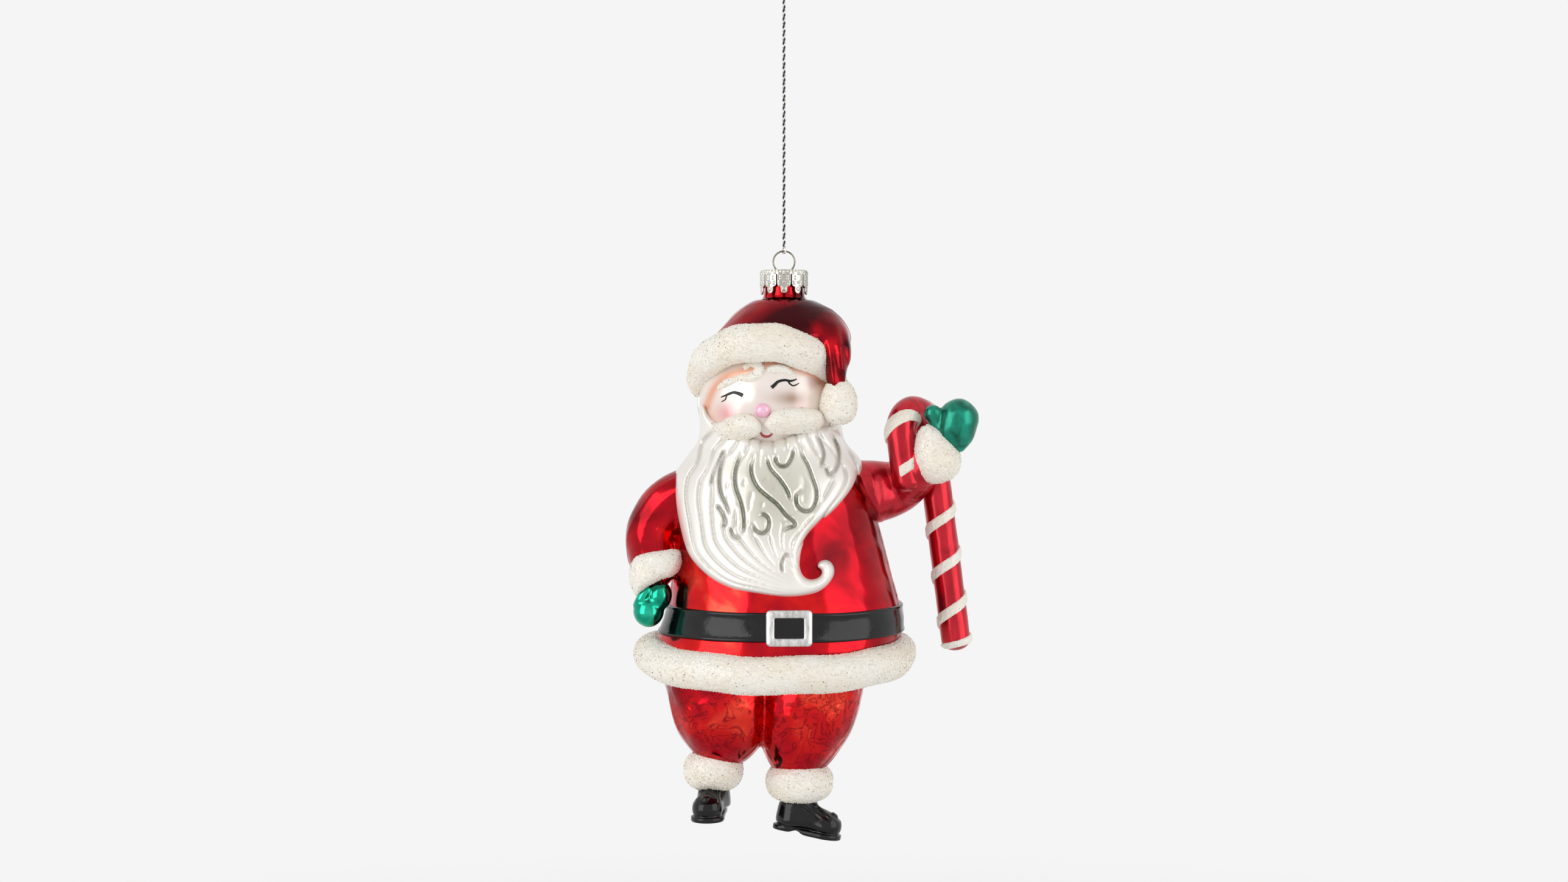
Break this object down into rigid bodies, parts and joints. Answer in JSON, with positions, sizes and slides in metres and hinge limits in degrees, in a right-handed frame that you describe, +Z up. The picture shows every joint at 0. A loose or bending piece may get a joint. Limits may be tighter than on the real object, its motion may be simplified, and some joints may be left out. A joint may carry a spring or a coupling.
{
  "type": "blown glass figurine ornament",
  "caption": "Hand-painted blown-glass santa ornament with candy cane, crown cap, wire ring hanger and twisted metallic hanging cord.",
  "frame": {"origin": "top of the hanging loop, where a hook or twig holds the ornament", "axes": "+Z up along the taut cord, -Y towards the figure's front, +X to the viewer's right"},
  "size_m": [0.09, 0.0618, 0.2333],
  "materials": {
    "red_glass": "silvered inside, transparent red lacquer outside, mirror gloss",
    "green_glass": "silvered inside, transparent green lacquer outside, mirror gloss",
    "pearl_skin": "satin pearl paint on glass",
    "pink_pearl": "pink pearl paint on glass",
    "pearl_white": "satin pearl-white paint on glass",
    "glass_glitter": "coarse clear glass glitter on white adhesive",
    "black_gloss": "black gloss lacquer on glass",
    "silver_paint": "silver metallic paint on glass",
    "nickel_plate": "bright plated stamped sheet",
    "spring_wire": "bright plated spring wire",
    "metallic_thread": "twisted silver and dark metallic thread"
  },
  "bodies": {
    "loop": {"hanging_loop": "metallic_thread", "cord_knot": "metallic_thread"},
    "cord": {"hanging_cord": "metallic_thread"},
    "hitch": {"cord_hitch": "metallic_thread"},
    "hanger": {"wire_hanger": "spring_wire"},
    "cap": {"ornament_cap": "nickel_plate"},
    "figure": {"figure_glass": "red_glass", "face": "pearl_skin", "nose": "pink_pearl", "eyebrow_left": "glass_glitter", "eyebrow_right": "glass_glitter", "forelock": "glass_glitter", "moustache_left": "glass_glitter", "moustache_right": "glass_glitter", "beard": "pearl_white", "back_hair": "pearl_white", "hat_brim": "glass_glitter", "pompom": "glass_glitter", "belt": "black_gloss", "belt_buckle": "silver_paint", "coat_hem": "glass_glitter", "trouser_cuff_left": "glass_glitter", "trouser_cuff_right": "glass_glitter", "boot_left": "black_gloss", "boot_right": "black_gloss", "hip_cuff": "glass_glitter", "hip_mitten": "green_glass", "raised_arm": "red_glass", "raised_cuff": "glass_glitter", "raised_mitten": "green_glass", "candy_cane": "red_glass", "cane_stripe": "glass_glitter"}
  },
  "joints": [
    {"name": "cord_twist", "type": "hinge", "parent": "loop", "child": "cord", "pos_m": [0, 0, -0.0138], "axis": [0, 0, 1], "range_deg": [-180, 180]},
    {"name": "ring_swing", "type": "hinge", "parent": "cord", "child": "hitch", "pos_m": [0, 0, -0.08138], "axis": [1, 0, 0], "range_deg": [-60, 60]},
    {"name": "ring_rock", "type": "hinge", "parent": "hitch", "child": "hanger", "pos_m": [0, 0, -0.08415], "axis": [0, 1, 0], "range_deg": [-40, 40]},
    {"name": "hanger_draw", "type": "slide", "parent": "hanger", "child": "cap", "axis": [0, 0, -1], "range_m": [0, 0.003]},
    {"name": "cap_pull", "type": "slide", "parent": "cap", "child": "figure", "axis": [0, 0, -1], "range_m": [0, 0.014]}
  ]
}
